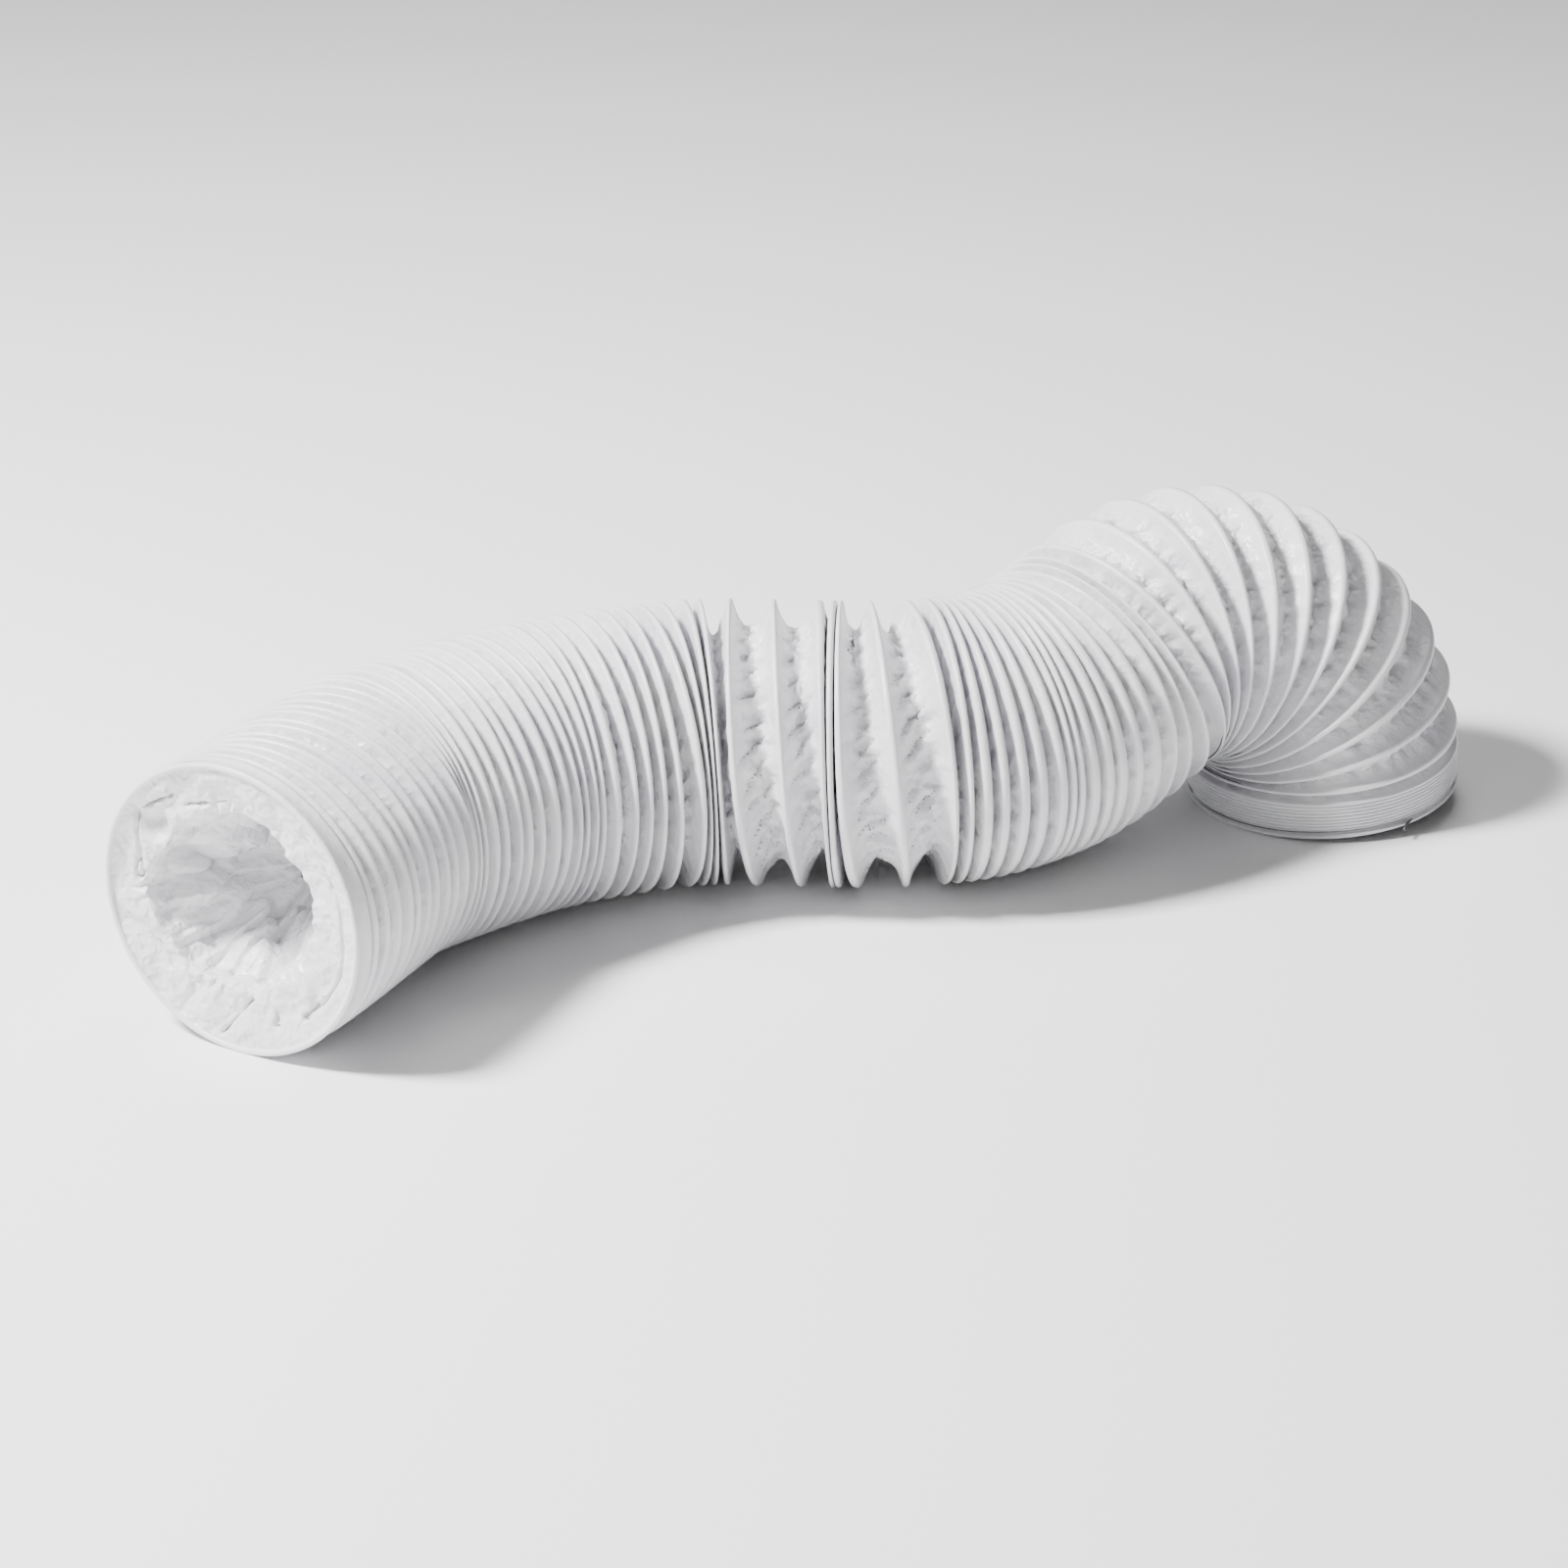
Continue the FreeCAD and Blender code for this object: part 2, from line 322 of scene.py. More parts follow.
def painted_crease_shade(points, normals, quads):
    """Painted crease shade: how dark a place is painted for lying in a crease, near 0 on open film and
    0.9 in a sharp crease.
    """
    total = np.zeros(len(points))
    count = np.zeros(len(points))
    for k in range(4):
        near = quads[:, k]
        far = quads[:, (k + 1) % 4]
        way = points[far] - points[near]
        way /= np.maximum(np.linalg.norm(way, axis=1), 1e-9)[:, None]
        total += np.bincount(near, (way * normals[near]).sum(axis=1), len(points))
        total -= np.bincount(far, (way * normals[far]).sum(axis=1), len(points))
        count += np.bincount(near, minlength=len(points)) + np.bincount(far, minlength=len(points))
    return np.clip(0.05 + 3.6 * total / np.maximum(count, 1), 0, 0.9)


def column_places():
    """Columns across the ribbon: ("bead", share of the half circle) or ("flank", share of the flank)."""
    bead = [("bead", k / BEAD_COLUMNS) for k in range(-BEAD_COLUMNS, BEAD_COLUMNS + 1)]
    shares = [1 - (1 - k / FLANK_COLUMNS) ** 1.25 for k in range(1, FLANK_COLUMNS + 1)]
    before = [("flank", -share) for share in reversed(shares)]
    after = [("flank", share) for share in shares]
    return before + bead + after


COLUMNS = column_places()


def ribbon_points(rows):
    """The film's places before it crumples: point, turns, angle, valley share, spacing, painted shade by
    the wire.
    """
    turns = np.repeat(rows, len(COLUMNS))
    kind = np.tile([c[0] == "bead" for c in COLUMNS], len(rows))
    share = np.tile([c[1] for c in COLUMNS], len(rows))
    angles = FIRST_TURN_ANGLE + 2 * math.pi * turns
    station = station_of(turns)
    side = np.where(share < 0, -1.0, 1.0)
    half = np.abs(station_of(turns + 0.5 * side) - station)
    bead_share = np.clip(BEAD_RADIUS / np.maximum(2 * half, 0.1), 0.04, 0.3)
    flank = bead_share + (0.5 - bead_share) * np.abs(share)
    across = np.where(kind, bead_share * np.sin(share * math.pi / 2), side * flank)
    at = turns + across
    around = np.stack([np.cos(angles) * 1.3, np.sin(angles) * 1.3, at * 0.8], axis=1)
    shifted = 0.17 * noise(around, 5) * form_of(at, 3) * np.where(kind, 0, np.abs(2 * across)) ** 3
    at = at + shifted
    spread = line.spacing(station_of(at), angles)
    spacing = (station_of(at + 0.5) - station_of(at - 0.5)) * spread
    bead_radius = np.clip(0.48 * spacing, WIRE_RADIUS + 0.15, BEAD_RADIUS)
    width = form_of(at, 1)
    deepest = form_of(at, 2)
    crease = form_of(at, 3)
    depth = np.sqrt(np.maximum((width / 2) ** 2 - (spacing / 2) ** 2, 4.0))
    depth = np.minimum(depth, deepest)
    around = np.stack([np.cos(angles) * 1.6, np.sin(angles) * 1.6, at * 0.9], axis=1)
    depth *= 1 + 0.22 * noise(around, 4)
    valley = np.where(kind, 0.0, np.abs(share))
    # Painted shade along the wire: the bead's sides and the flank beside it darkened, more where the
    # turns lie close.
    edge = np.where(kind, np.abs(share) ** 3, np.clip(1 - 3 * np.abs(share), 0, 1))
    edge *= np.interp(spacing, [2.0, 4.0, 9.0], [0.95, 0.5, 0.25])
    tent = np.sin(valley * math.pi / 2) ** 0.72
    fold = 0.60 * valley ** 0.85 + 0.40 * valley ** 4
    drop = depth * ((1 - crease) * tent + crease * fold)
    radii = HELIX_RADIUS - squeeze(spread) - np.where(kind, 0.0, drop)
    radii = radii + np.where(kind, bead_radius * np.cos(share * math.pi / 2), 0.0)
    return place(at, angles, radii), at, angles, valley, spacing, edge


def ribbon_quads(rows):
    """Vertex numbers of the ribbon, each turn welded to the next along the valley, and its quads."""
    last = len(COLUMNS) - 1
    number = np.arange(rows)[:, None] * last + np.arange(last)[None, :]
    extra = rows * last + np.arange(STEPS)
    edge = np.concatenate([number[STEPS:, 0], extra])
    number = np.concatenate([number, edge[:, None]], axis=1)
    quads = np.stack([number[:-1, :-1], number[:-1, 1:], number[1:, 1:], number[1:, :-1]], axis=2)
    return number, quads


def make_film():
    """The whole film surface: points, normals, vertex numbers by row and column, and quads by row."""
    count = round((LAST_TURN - FIRST_TURN) * STEPS) + 1
    rows = FIRST_TURN + np.arange(count) / STEPS
    points, at, angles, valley, spacing, edge = ribbon_points(rows)
    number, quads = ribbon_quads(count)
    _, first = np.unique(number.ravel(), return_index=True)
    places = (points, at, angles, valley, spacing, edge)
    points, at, angles, valley, spacing, edge = (values[first] for values in places)
    normals = smooth_normals(points, quads.reshape(-1, 4))
    offset, painted_fold_shade = crumple(at, angles, valley, spacing)
    points = points + normals * offset[:, None]
    points[:, 2] = np.maximum(points[:, 2], 0.3)
    normals = smooth_normals(points, quads.reshape(-1, 4))
    # Painted shade: darker down each valley, most where the turns lie close, varied at random, with the
    # painted fold, wire-edge and crease shade added.
    shade = np.clip(valley, 0, 1) ** np.clip(0.3 * spacing, 0.9, 3.0)
    shade = shade * np.clip(1.3 - spacing / 12.0, 0.25, 1)
    around = np.stack([np.cos(angles) * 2.1, np.sin(angles) * 2.1, at * 0.9], axis=1)
    shade = 0.9 * shade * (1.0 + 0.7 * noise(around, 6)) + painted_fold_shade + edge
    shade = np.clip(shade + painted_crease_shade(points, normals, quads.reshape(-1, 4)), 0, 0.94)
    return rows, points, normals, number, quads, np.stack([valley, shade], axis=1)


def crumple(at, angles, valley, spacing):
    """How far folds and crumples lift the film off its plain shape, and the painted shade along the
    steep side of each slanting fold.
    """
    around = np.stack([np.cos(angles), np.sin(angles)], axis=1) * HELIX_RADIUS
    along = station_of(at)[:, None]
    place_mm = np.concatenate([around, along], axis=1)
    envelope = np.clip(valley, 0, 1) ** 0.7
    room = np.clip(spacing / 11.0, 0.12, 1.0)
    strength = form_of(at, 4)
    slant = form_of(at, 5)
    warp = noise(place_mm / 19.0, 11) + 0.4 * noise(place_mm / 6.0, 16)
    phase = SLANT_FOLDS * (angles - FIRST_TURN_ANGLE) / (2 * math.pi) + SLANT * at + 0.55 * warp
    run = phase - np.floor(phase)
    fold = np.where(run < 0.82, run / 0.82, (1 - run) / 0.18)
    patch = np.clip(0.75 + 0.9 * noise(place_mm / 26.0, 12), 0.15, 1)
    slanted = (fold - 0.5) * patch * slant * 3.4
    coarse = ridges(place_mm / np.array([9.0, 9.0, 14.0]), 13) - 0.55
    fine = ridges(place_mm / np.array([4.2, 4.2, 6.0]), 14) - 0.55
    soft = noise(place_mm / 21.0, 15)
    total = slanted + strength * (1.7 * coarse + 0.9 * fine + 0.8 * soft)
    # Painted shade: a dark line along the steep side of each slanting fold.
    painted_fold_shade = np.exp(-((run - 0.9) / 0.13) ** 2) * slant * patch * np.clip(3 * valley - 0.35, 0, 0.85)
    return total * envelope * room, painted_fold_shade


def film_material():
    """Soft white plastic film: satin, a little cloudy, faintly lilac, with painted shade mixed in
    towards near black in its folds and creases.
    """
    material = bpy.data.materials.new("film")
    material.use_nodes = True
    nodes = material.node_tree.nodes
    links = material.node_tree.links
    shader = nodes["Principled BSDF"]
    shader.inputs["Roughness"].default_value = 0.34
    shader.inputs["IOR"].default_value = 1.5
    where = nodes.new("ShaderNodeTexCoord")

    def texture(scale, detail):
        node = nodes.new("ShaderNodeTexNoise")
        node.inputs["Scale"].default_value = scale
        node.inputs["Detail"].default_value = detail
        links.new(where.outputs["Object"], node.inputs["Vector"])
        return node.outputs["Fac"]

    def maths(operation, first, second):
        node = nodes.new("ShaderNodeMath")
        node.operation = operation
        for socket, value in zip(node.inputs, (first, second)):
            if isinstance(value, float):
                socket.default_value = value
            else:
                links.new(value, socket)
        return node.outputs[0]

    def mark(word):
        node = nodes.new("ShaderNodeAttribute")
        node.attribute_name = word
        return node.outputs["Fac"]

    tint = nodes.new("ShaderNodeValToRGB")
    tint.color_ramp.elements[0].position = 0.35
    tint.color_ramp.elements[0].color = (0.755, 0.745, 0.785, 1)
    tint.color_ramp.elements[1].position = 0.65
    tint.color_ramp.elements[1].color = (0.81, 0.81, 0.82, 1)
    links.new(texture(34.0, 3.0), tint.inputs["Fac"])
    # Painted shade: the shade mark mixes the film's colour towards near black.
    deep = nodes.new("ShaderNodeMix")
    deep.data_type = "RGBA"
    links.new(mark("shade"), deep.inputs["Factor"])
    links.new(tint.outputs["Color"], deep.inputs["A"])
    deep.inputs["B"].default_value = (0.018, 0.018, 0.021, 1)
    links.new(deep.outputs["Result"], shader.inputs["Base Color"])

    fold = mark("fold")
    creases = maths("ABSOLUTE", maths("SUBTRACT", texture(95.0, 2.0), 0.5), 0.0)
    small = maths("ABSOLUTE", maths("SUBTRACT", texture(230.0, 1.0), 0.5), 0.0)
    height = maths("ADD", maths("MULTIPLY", creases, 1.0), maths("MULTIPLY", small, 0.45))
    height = maths("MULTIPLY", height, maths("ADD", maths("MULTIPLY", fold, 0.9), 0.1))
    height = maths("ADD", height, maths("MULTIPLY", texture(700.0, 3.0), 0.03))
    bump = nodes.new("ShaderNodeBump")
    bump.invert = True
    bump.inputs["Strength"].default_value = 0.8
    bump.inputs["Distance"].default_value = 0.006
    links.new(height, bump.inputs["Height"])
    links.new(bump.outputs["Normal"], shader.inputs["Normal"])
    return material


def steel_material():
    material = bpy.data.materials.new("wire")
    material.use_nodes = True
    nodes = material.node_tree.nodes
    shader = nodes["Principled BSDF"]
    shader.inputs["Base Color"].default_value = (0.18, 0.18, 0.19, 1)
    shader.inputs["Metallic"].default_value = 1.0
    shader.inputs["Roughness"].default_value = 0.4
    grain = nodes.new("ShaderNodeTexNoise")
    grain.inputs["Scale"].default_value = 900.0
    bump = nodes.new("ShaderNodeBump")
    bump.inputs["Strength"].default_value = 0.1
    bump.inputs["Distance"].default_value = 0.0002
    material.node_tree.links.new(grain.outputs["Fac"], bump.inputs["Height"])
    material.node_tree.links.new(bump.outputs["Normal"], shader.inputs["Normal"])
    return material


FILM = film_material()
STEEL = steel_material()


def new_object(name, points, faces, normals, material, marks=None):
    """A mesh object in metres, with its own smooth normals and marks (fold, painted shade) for its
    material.
    """
    mesh = bpy.data.meshes.new(name)
    mesh.vertices.add(len(points))
    mesh.vertices.foreach_set("co", (points * MM).astype(np.float32).ravel())
    mesh.loops.add(faces.size)
    mesh.loops.foreach_set("vertex_index", faces.astype(np.int32).ravel())
    mesh.polygons.add(len(faces))
    mesh.polygons.foreach_set("loop_start", np.arange(0, faces.size, 4, dtype=np.int32))
    mesh.polygons.foreach_set("use_smooth", np.ones(len(faces), bool))
    mesh.update(calc_edges=True)
    mesh.materials.append(material)
    if marks is None:
        marks = np.zeros((len(points), 2))
    for column, word in enumerate(("fold", "shade")):
        values = mesh.attributes.new(word, "FLOAT", "POINT")
        values.data.foreach_set("value", marks[:, column].astype(np.float32))
    if normals is not None:
        mesh.normals_split_custom_set_from_vertices(normals.tolist())
    made = bpy.data.objects.new(name, mesh)
    bpy.context.scene.collection.objects.link(made)
    return made


def thin_solid(name, points, normals, quads, marks=None, thickness=FILM_THICKNESS):
    """A closed thin sheet: the given surface, its back, and a wall round the open edges."""
    count = len(points)
    edges = np.stack([quads, np.roll(quads, -1, axis=1)], axis=2).reshape(-1, 2)
    ends = np.sort(edges, axis=1)
    _, first, uses = np.unique(ends[:, 0] * count + ends[:, 1], return_index=True, return_counts=True)
    rim = edges[first[uses == 1]]
    walls = np.column_stack([rim[:, 1], rim[:, 0], rim[:, 0] + count, rim[:, 1] + count])
    faces = np.concatenate([quads, quads[:, ::-1] + count, walls])
    both = np.concatenate([points, points - normals * thickness])
    both_marks = None if marks is None else np.concatenate([marks, marks * [1.0, 0.0]])
    return new_object(name, both, faces, np.concatenate([normals, -normals]), FILM, both_marks)


def kept(quads, *values):
    """The quads renumbered, and the values of only the vertices that they use."""
    used, renamed = np.unique(quads.ravel(), return_inverse=True)
    return [renamed.reshape(-1, 4)] + [v[used] for v in values]


def cut_turns():
    """Turn numbers where the film is divided: the cut phase nearest the middle of each inner group."""
    cuts = [FIRST_TURN]
    grid = CUT_PHASE + np.arange(0, 80)
    stations = station_of(grid)
    for number, (begin, end) in enumerate(line.group_spans[1:-1], start=1):
        middle = (begin + end) / 2
        if number == len(line.group_spans) - 2:
            middle = begin + ELBOW_CUT
        cuts.append(float(grid[np.argmin(np.abs(stations - middle))]))
    cuts.append(LAST_TURN)
    return cuts


def wire_tube(rows):
    """A closed round tube along the wire: points and quads."""
    sides = 6
    angles = FIRST_TURN_ANGLE + 2 * math.pi * rows
    spread = line.spacing(station_of(rows), angles)
    radii = HELIX_RADIUS - squeeze(spread)
    centre = place(rows, angles, radii)
    points, forward, left, up = line.frames(station_of(rows))
    outwards = left * np.cos(angles)[:, None] + up * np.sin(angles)[:, None]
    turn = np.arange(sides) * 2 * math.pi / sides
    normals = outwards[:, None] * np.cos(turn)[None, :, None]
    normals = normals + forward[:, None] * np.sin(turn)[None, :, None]
    skin = centre[:, None] + normals * WIRE_RADIUS
    number = np.arange(len(rows) * sides).reshape(len(rows), sides)
    ahead = np.roll(number, -1, axis=1)
    quads = np.stack([number[:-1], ahead[:-1], ahead[1:], number[1:]], axis=2).reshape(-1, 4)
    caps = []
    for row, order in ((number[0], -1), (number[-1], 1)):
        for k in (0, 2):
            caps.append(np.array([row[0], row[k + 1], row[k + 2], row[(k + 3) % sides]])[::order])
    return skin.reshape(-1, 3), np.concatenate([quads, np.array(caps)])


rows, film_points, film_normals, film_number, film_quads, film_marks = make_film()


def make_cuff(name, front):
    """The plain band between an end rim and the first free turn, with the rim's wire inside it."""
    if front:
        edge = film_number[:STEPS + 1, 0]
        turns = rows[:STEPS + 1]
        rim = RIM_SETBACK
        sense = 1.0
    else:
        edge = film_number[-STEPS - 1:, -1]
        turns = rows[-STEPS - 1:]
        rim = line.length - RIM_SETBACK
        sense = -1.0
    border = film_points[edge]
    angles = FIRST_TURN_ANGLE + 2 * math.pi * turns
    bead = [k / 6 for k in range(7)]
    band = [0.08, 0.2, 0.35, 0.5, 0.65, 0.78, 0.88, 0.95]
    base, forward, left, up = line.frames(np.full(len(turns), rim))
    outwards = left * np.cos(angles)[:, None] + up * np.sin(angles)[:, None]
    columns = []
    for share in bead:
        around = math.pi * (share * 1.0 - 0.5)
        radius = HELIX_RADIUS + BEAD_RADIUS * math.sin(around)
        shift = -sense * BEAD_RADIUS * math.cos(around)
        columns.append(base + outwards * radius + forward * shift)
    start = columns[-1]
    width = np.abs(((border - base) * forward).sum(axis=1))
    for share in band:
        along = sense * width * share
        dip = (0.45 if front else 1.8) * math.sin(math.pi * min(share / 0.9, 1.0))
        at = base + forward * along[:, None]
        wave = 0.25 * noise(np.stack([np.cos(angles) * 5, np.sin(angles) * 5, along * 0.2], axis=1), 21)
        columns.append(at + outwards * (HELIX_RADIUS + BEAD_RADIUS - 0.15 - dip + wave)[:, None])
    columns.append(border)
    grid = np.stack(columns, axis=1)
    number = np.arange(grid.shape[0] * grid.shape[1]).reshape(grid.shape[:2])
    quads = np.stack([number[:-1, :-1], number[:-1, 1:], number[1:, 1:], number[1:, :-1]], axis=2)
    quads = quads.reshape(-1, 4)
    if not front:
        quads = quads[:, ::-1]
    points = grid.reshape(-1, 3)
    normals = smooth_normals(points, quads)
    marks = np.zeros((len(points), 2))
    # Painted shade: darker in creases, a dark line where the band meets the film, and dark stripes
    # across the rear band between the stacked turns.
    marks[:, 1] = painted_crease_shade(points, normals, quads)
    marks[number[:, -1], 1] = 0.9
    if not front:
        marks[number[:, len(bead):-1], 1] = 0.8
    return thin_solid(name, points, normals, quads, marks)


cuts = cut_turns()
for number in range(1, 14):
    joint = line.joint_stations[number - 1]
    centre, forward, _, _ = (v[0] for v in line.frames([joint]))
    first = round((cuts[number - 1] - FIRST_TURN) * STEPS)
    last = round((cuts[number] - FIRST_TURN) * STEPS)
    quads = film_quads[first:last].reshape(-1, 4)
    quads, points, normals, marks = kept(quads, film_points, film_normals, film_marks)
    skin = thin_solid("film_skin_%02d" % number, points, normals, quads, marks)
    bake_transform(skin)
    nodes = ["film_%02d" % number]
    if number == 13:
        nodes += [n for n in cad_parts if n.startswith("film_13_") or n == "film_14"]
    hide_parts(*nodes)
    begin_turn = cuts[number - 1]
    end_turn = cuts[number]
    if number == 1:
        begin_turn = CUT_PHASE - 1.0
    if number == 13:
        end_turn = WIRE_END_TURN
    wire_rows = np.linspace(begin_turn, end_turn, round((end_turn - begin_turn) * STEPS / 2) + 1)
    tube_points, tube_quads = wire_tube(wire_rows)
    wire = new_object("wire_coil_%02d" % number, tube_points, tube_quads, None, STEEL)
    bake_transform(wire)
    nodes = ["wire_turns_%02d" % number]
    if number == 13:
        nodes.append("wire_turns_14")
    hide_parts(*nodes)

front_cuff = make_cuff("front_cuff_band", True)
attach(front_cuff, "turns_01")
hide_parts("front_cuff")
rear_cuff = make_cuff("rear_cuff_band", False)
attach(rear_cuff, "turns_14")
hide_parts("rear_cuff")

# The loose edge of the film, folded inwards at the front mouth: its ragged opening about its centre, as
# (to the left, upwards) from the middle of the mouth.
OPENING = [
    (39.0, 1.2), (35.0, 9.0), (28.5, 15.5), (22.5, 25.0), (8.7, 30.6), (-4.6, 34.4), (-13.3, 32.4),
    (-21.7, 23.8), (-29.9, 14.3), (-31.2, 9.0), (-30.3, -5.0), (-27.5, -12.0), (-13.0, -21.5),
    (-4.2, -30.9), (4.0, -30.2), (17.0, -28.9), (23.0, -27.0), (29.5, -17.4), (35.5, -8.4),
]
OPENING_CENTRE = np.array([3.5, 0.5])

# Fine details of that flange, in the same terms: slits and creases as (start, end, depth).
SLITS = [
    ((-4.0, -33.7), (7.1, -47.4), 3.0),
    ((-15.0, -35.0), (-15.0, -39.5), 2.5),
    ((-27.0, -34.0), (-33.5, -26.5), 3.0),
    ((23.4, 36.0), (36.5, 28.5), 4.0),
    ((38.5, 29.0), (40.5, 2.0), 3.0),
    ((31.0, -17.0), (20.0, -31.0), 1.5),
    ((2.0, 37.5), (17.5, 33.5), 2.0),
    ((33.0, -20.0), (26.0, -31.0), 2.0),
]
# Pushed-in places of it: (middle, radius, depth).
PITS = [
    ((32.5, 23.5), 7.5, 5.0),
    ((-22.0, -29.0), 7.0, 2.5),
    ((8.0, -38.0), 6.0, 1.6),
]
# The curved crease round the right of it, and how deep the loose liner hangs inside the duct.
CREASE_RADIUS = 44.2
LINER_LENGTH = 46.0


def near_line(flat, start, end):
    """Distance of flat points from a line between two points."""
    start = np.array(start)
    way = np.array(end) - start
    share = np.clip(((flat - start) @ way) / (way @ way), 0, 1)
    return np.linalg.norm(flat - start - share[:, None] * way, axis=1)


def make_hem():
    """The folded-in flange of loose film round the mouth, which goes on inside as a loose liner."""
    arms = np.array(OPENING) - OPENING_CENTRE
    spokes = np.arctan2(arms[:, 1], arms[:, 0])
    reach = np.hypot(arms[:, 0], arms[:, 1])
    order = np.argsort(spokes)
    count = STEPS * 2
    angles = np.arange(count) * 2 * math.pi / count
    wrapped = (angles + math.pi) % (2 * math.pi) - math.pi
    edge = np.interp(wrapped, spokes[order], reach[order], period=2 * math.pi)
    ring = np.stack([np.cos(angles), np.sin(angles)], axis=1)
    edge = edge + 0.6 * noise(np.column_stack([ring * 7, angles * 0]), 31)
    base, forward, left, up = (v[0] for v in line.frames([0.0]))
    leftness = np.clip(0.5 + np.cos(angles + 0.35), 0, 1)
    columns = []
    hem_painted_shade = []
    for share in np.concatenate([np.linspace(0, 1, 40), 1 + np.linspace(0.03, 1, 40)]):
        inner = min(share, 1.0)
        turned = max(share - 1.0, 0.0)
        narrowing = 1 - 0.55 * turned ** 1.6
        opening = OPENING_CENTRE * (1 - turned) + ring * (edge * narrowing)[:, None]
        flat = ring * (HELIX_RADIUS - 0.35) * (1 - inner) + opening * inner
        out = np.linalg.norm(flat, axis=1)
        depth = 1.6 * (1 - np.exp(-(HELIX_RADIUS - out) / 0.7)) + 3.0 * inner ** 1.4
        depth = depth + LINER_LENGTH * turned
        cells = np.column_stack([flat, np.full(count, 3.0 * inner + LINER_LENGTH * turned)])
        folds = 2.0 * (ridges(cells / 19.0, 32) - 0.5) + 0.5 * (ridges(cells / 8.0, 33) - 0.5)
        run = (angles * 26 / (2 * math.pi) + 1.3 * noise(cells / 16.0, 34)) % 1.0
        gathers = (np.where(run < 0.8, run / 0.8, (1 - run) / 0.2) - 0.5) * 1.5 * inner ** 4
        lift = (folds + gathers * (1 - turned)) * np.clip(inner * 4, 0, 1) * (1 - turned)
        right = np.clip((-np.cos(angles) - 0.6) * 5, 0, 1)
        crease = np.exp(-((out - CREASE_RADIUS - 0.8 * noise(cells / 12.0, 35)) / 0.5) ** 2) * right
        groove = 1.6 * crease
        # Painted shade in the curved crease and in a thin line just inside the rim.
        shade = 0.55 * crease + 0.5 * np.exp(-((HELIX_RADIUS - 1.0 - out) / 0.35) ** 2)
        wavering = 1.5 * noise(cells / 6.0, 39)
        for start, end, deep in SLITS:
            cut = np.exp(-((near_line(flat, start, end) + wavering) / 0.5) ** 2) * (turned == 0)
            groove = groove + deep * cut
            # Painted shade down each slit.
            shade = shade + 0.85 * cut
        for centre, width, deep in PITS:
            away = np.linalg.norm(flat - np.array(centre), axis=1)
            groove = groove + deep * np.clip(1 - away / width, 0, 1) * (turned == 0)
        # Painted shade inside the loose liner, darker towards the top.
        shade = shade + 0.5 * min(turned * 6, 1.0) * (0.75 + 0.35 * np.sin(angles))
        hem_painted_shade.append(shade)
        if turned > 0:
            facets = 7.0 * (ridges(cells / 27.0, 36) - 0.6) + 1.6 * (ridges(cells / 10.0, 37) - 0.6)
            pleat = (angles * 19 / (2 * math.pi) + 0.5 * noise(cells / 14.0, 38)) % 1.0
            pleats = (np.where(pleat < 0.75, pleat / 0.75, (1 - pleat) / 0.25) - 0.5) * 3.6 * leftness
            flat = flat + ring * ((facets + pleats) * min(turned * 4, 1.0))[:, None]
        along = depth + lift + groove
        columns.append(base + left * flat[:, :1] + up * flat[:, 1:] + forward * along[:, None])
    grid = np.stack(columns, axis=1)
    number = np.arange(grid.shape[0] * grid.shape[1]).reshape(grid.shape[:2])
    ahead = np.roll(number, -1, axis=0)
    quads = np.stack([number[:, :-1], ahead[:, :-1], ahead[:, 1:], number[:, 1:]], axis=2).reshape(-1, 4)
    points = grid.reshape(-1, 3)
    normals = smooth_normals(points, quads)
    marks = np.zeros((len(points), 2))
    marks[:, 0] = 0.7
    marks[:, 1] = np.clip(np.stack(hem_painted_shade, axis=1).ravel() + painted_crease_shade(points, normals, quads), 0, 1)
    return thin_solid("front_hem_flange", points, normals, quads, marks)


hem = make_hem()
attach(hem, "turns_01")
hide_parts("front_hem")


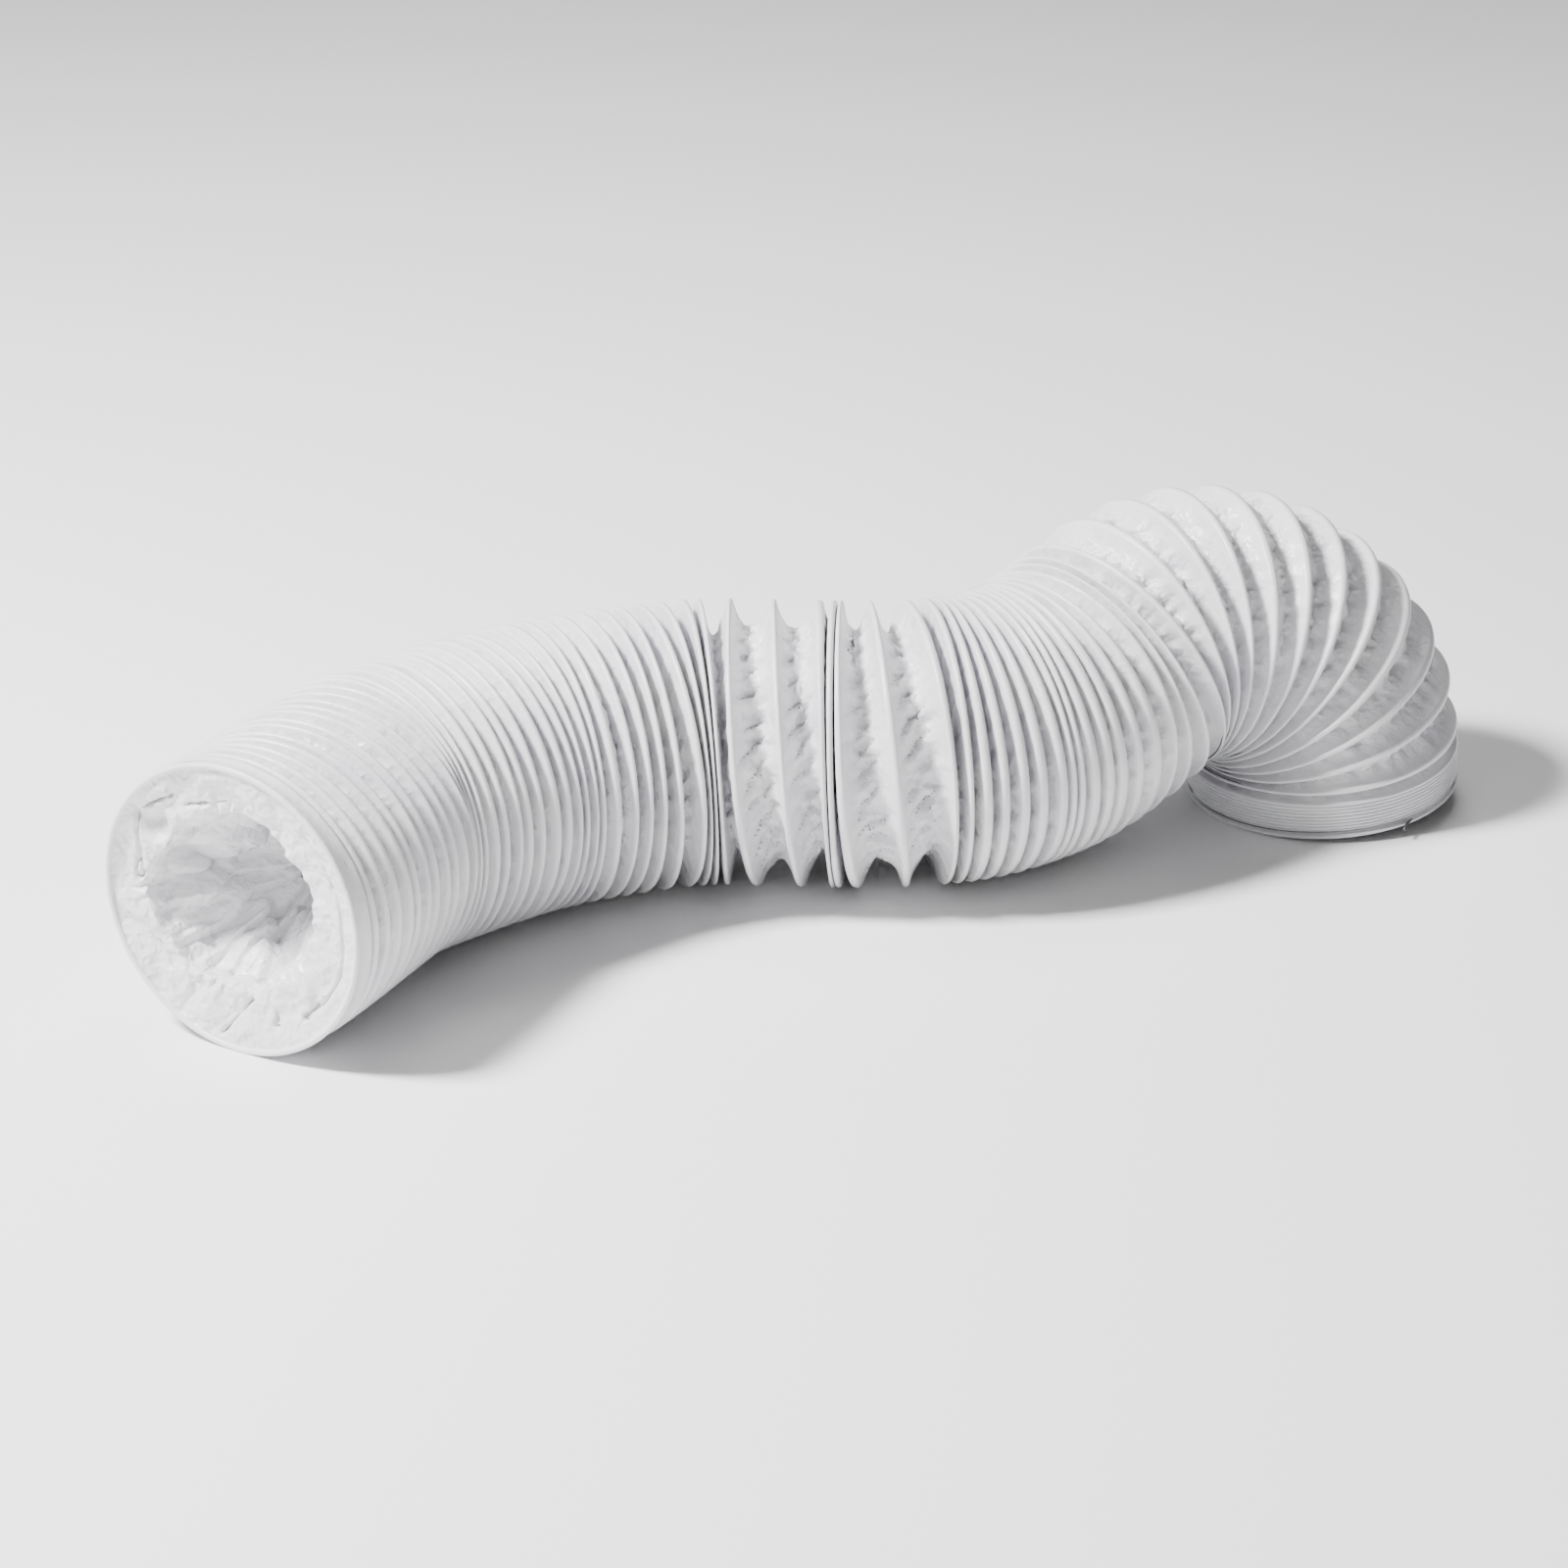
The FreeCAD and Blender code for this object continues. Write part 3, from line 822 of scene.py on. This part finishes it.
def add_stage():
    """A plain pale floor, soft lights and the camera."""
    mesh = bpy.data.meshes.new("floor")
    size = 9.0
    corners = [(-size, -size, 0), (size, -size, 0), (size, size, 0), (-size, size, 0)]
    mesh.from_pydata(corners, [], [(0, 1, 2, 3)])
    floor = bpy.data.objects.new("floor", mesh)
    bpy.context.scene.collection.objects.link(floor)
    material = bpy.data.materials.new("floor")
    material.use_nodes = True
    shader = material.node_tree.nodes["Principled BSDF"]
    shader.inputs["Base Color"].default_value = (0.95, 0.95, 0.95, 1)
    shader.inputs["Roughness"].default_value = 0.9
    shader.inputs["Specular IOR Level"].default_value = 0.1
    mesh.materials.append(material)
    world = bpy.data.worlds.new("studio")
    bpy.context.scene.world = world
    world.use_nodes = True
    world.node_tree.nodes["Background"].inputs["Color"].default_value = (1, 1, 1, 1)
    world.node_tree.nodes["Background"].inputs["Strength"].default_value = 0.14
    lights = [
        ("key", (-1.1, -0.35, 1.5), (0, 0, 0.05), 0.35, 115.0),
        ("top", (0.2, 0.7, 1.6), (0, 0, 0.05), 0.7, 10.0),
        ("front", (-0.85, -1.5, 0.45), (-0.15, -0.1, 0.05), 0.5, 4.0),
    ]
    for name, at, aim, width, power in lights:
        data = bpy.data.lights.new(name, "AREA")
        data.shape = "SQUARE"
        data.size = width
        data.energy = power
        lamp = bpy.data.objects.new(name, data)
        bpy.context.scene.collection.objects.link(lamp)
        lamp.location = at
        lamp.rotation_euler = look(at, aim)
    data = bpy.data.cameras.new("camera")
    data.lens = 92.0
    data.sensor_width = 36.0
    camera = bpy.data.objects.new("camera", data)
    bpy.context.scene.collection.objects.link(camera)
    camera.location = (-0.0156, -1.3251, 0.6134)
    camera.rotation_euler = look(camera.location, (-0.0156, 0.0109, 0.0397))
    bpy.context.scene.camera = camera


def look(at, aim):
    return (Vector(aim) - Vector(at)).to_track_quat("-Z", "Y").to_euler()


def make_cut_end():
    """The wire's cut end, sprung clear of the last turn."""
    turns = np.array([WIRE_END_TURN - 0.02, WIRE_END_TURN])
    angles = FIRST_TURN_ANGLE + 2 * math.pi * turns
    before, root = place(turns, angles, np.full(2, HELIX_RADIUS))
    middle = line.frames([line.length])[0][0]
    onwards = (root - before) / np.linalg.norm(root - before)
    outwards = (root - middle) / np.linalg.norm(root - middle)
    share = np.linspace(0, 1, 13)
    path = root + onwards * (9.0 * share)[:, None] + outwards * (3.2 * share ** 2 + 0.4 * share)[:, None]
    along = np.gradient(path, axis=0)
    along /= np.linalg.norm(along, axis=1)[:, None]
    side = np.cross(along, np.array([0, 0, 1.0]))
    side /= np.linalg.norm(side, axis=1)[:, None]
    upward = np.cross(side, along)
    turn = np.arange(8) * math.pi / 4
    round_about = side[:, None] * np.cos(turn)[:, None] + upward[:, None] * np.sin(turn)[:, None]
    skin = (path[:, None] + round_about * WIRE_RADIUS).reshape(-1, 3)
    number = np.arange(len(skin)).reshape(len(path), 8)
    ahead = np.roll(number, -1, axis=1)
    quads = np.stack([number[:-1], ahead[:-1], ahead[1:], number[1:]], axis=2).reshape(-1, 4)
    caps = [number[0][[k + 3, k + 2, k + 1, 0]] for k in (0, 2, 4)]
    caps += [number[-1][[0, k + 1, k + 2, k + 3]] for k in (0, 2, 4)]
    return new_object("wire_end", skin, np.concatenate([quads, np.array(caps)]), None, STEEL)


cut_end = make_cut_end()
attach(cut_end, "turns_14")
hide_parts("wire_cut_end")

add_stage()
